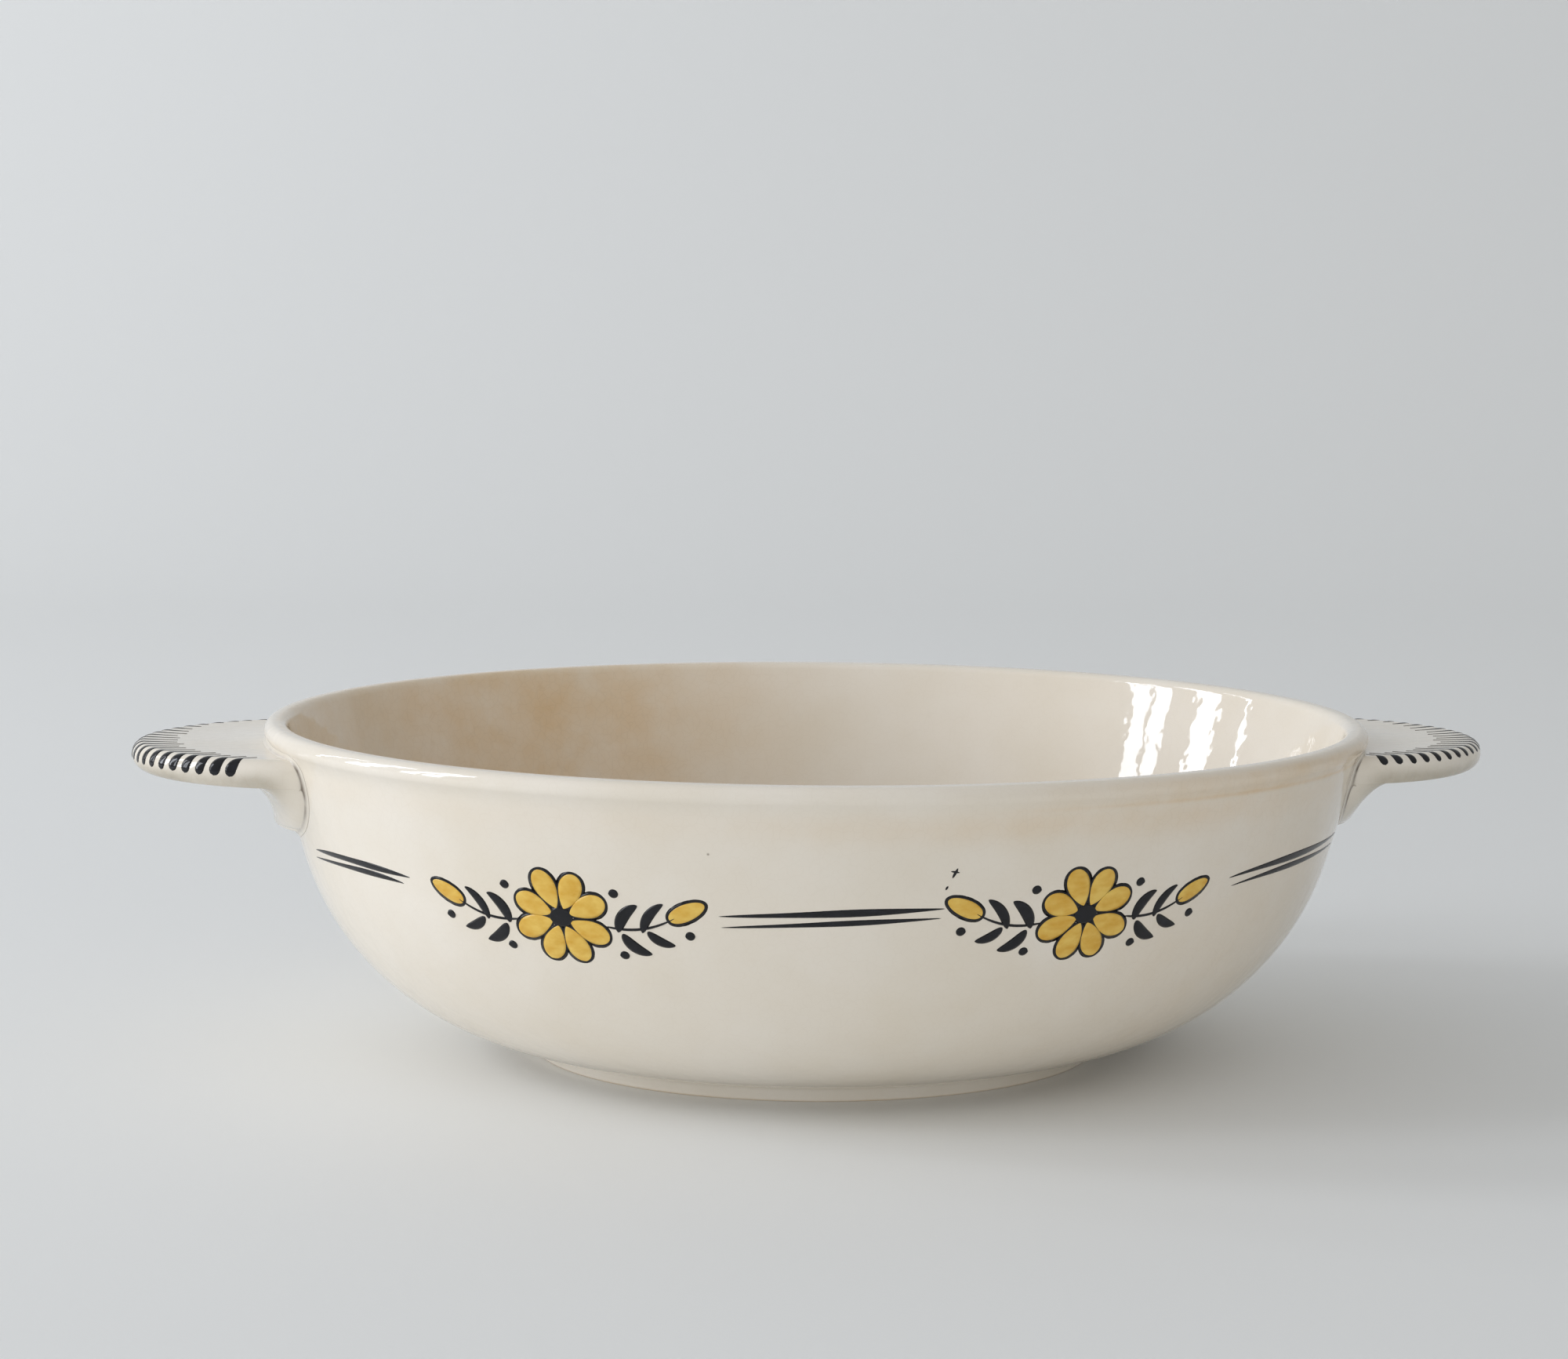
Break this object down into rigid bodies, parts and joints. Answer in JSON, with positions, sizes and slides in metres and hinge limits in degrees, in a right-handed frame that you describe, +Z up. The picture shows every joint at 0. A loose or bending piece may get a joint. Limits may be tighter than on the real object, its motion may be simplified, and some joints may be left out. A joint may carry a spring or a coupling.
{
  "type": "oval vegetable dish",
  "caption": "Deep oval earthenware serving dish with a rounded rim, flat lug handles at its ends, a low foot ring, and brush-painted feathering, stripes and flowers on a cream glaze.",
  "frame": {"origin": "on the table, under the middle of the dish", "axes": "+X along the length, through the right handle; +Z up; the painted side seen in the picture faces -Y"},
  "size_m": [0.2896, 0.195, 0.0715],
  "materials": {
    "cream_glaze": "gloss, finely crazed",
    "joint_slip": "gloss over a stained joint",
    "black_paint": "gloss, brush-painted",
    "yellow_paint": "gloss, brush-painted"
  },
  "bodies": {
    "root": {"bowl": "cream_glaze", "foot_ring": "cream_glaze", "left_handle": "cream_glaze", "right_handle": "cream_glaze", "left_handle_slip": "joint_slip", "right_handle_slip": "joint_slip"}
  },
  "joints": []
}
